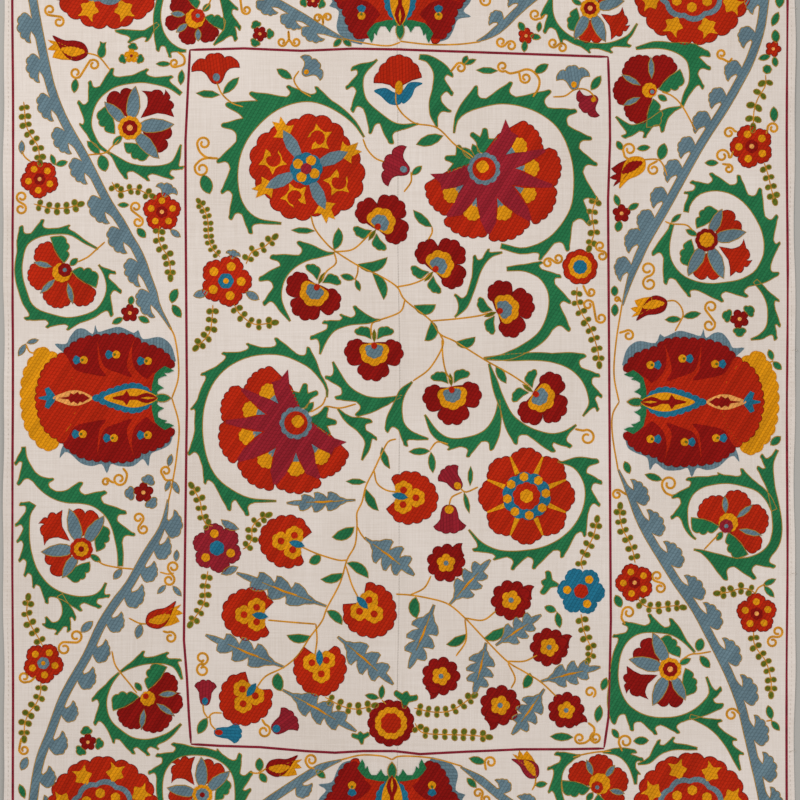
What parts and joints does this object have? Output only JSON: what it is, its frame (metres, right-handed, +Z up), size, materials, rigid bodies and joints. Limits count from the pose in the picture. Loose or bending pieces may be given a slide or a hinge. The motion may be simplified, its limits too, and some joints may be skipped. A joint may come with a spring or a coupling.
{
  "type": "suzani embroidered textile",
  "caption": "Handwoven cotton cover in two loom widths, hemmed and embroidered all over in silk with rosettes, scrolls and garlands, lying flat.",
  "frame": {"origin": "under the middle of the cover, on the surface it lies on", "axes": "+Z up from the surface, through the embroidered face; +Y along the loom widths, to the top of the design; +X across the two widths"},
  "size_m": [1.5035, 2.0302, 0.0055],
  "materials": {
    "cotton_ground": "handwoven ivory cotton, matt, with slubs",
    "hem_thread": "undyed cotton sewing thread",
    "scarlet_silk": "couched silk, soft sheen",
    "dark_red_silk": "couched silk, soft sheen",
    "crimson_silk": "couched silk, soft sheen",
    "green_silk": "couched silk, soft sheen",
    "olive_silk": "couched silk, soft sheen",
    "slate_silk": "couched silk, soft sheen",
    "teal_silk": "couched silk, soft sheen",
    "gold_silk": "couched silk, soft sheen",
    "peach_silk": "couched silk, soft sheen",
    "ochre_silk": "chain stitch outline, soft sheen",
    "madder_line": "dark red chain stitch, soft sheen"
  },
  "bodies": {
    "root": {"panel_left": "cotton_ground", "panel_right": "cotton_ground"}
  },
  "joints": []
}
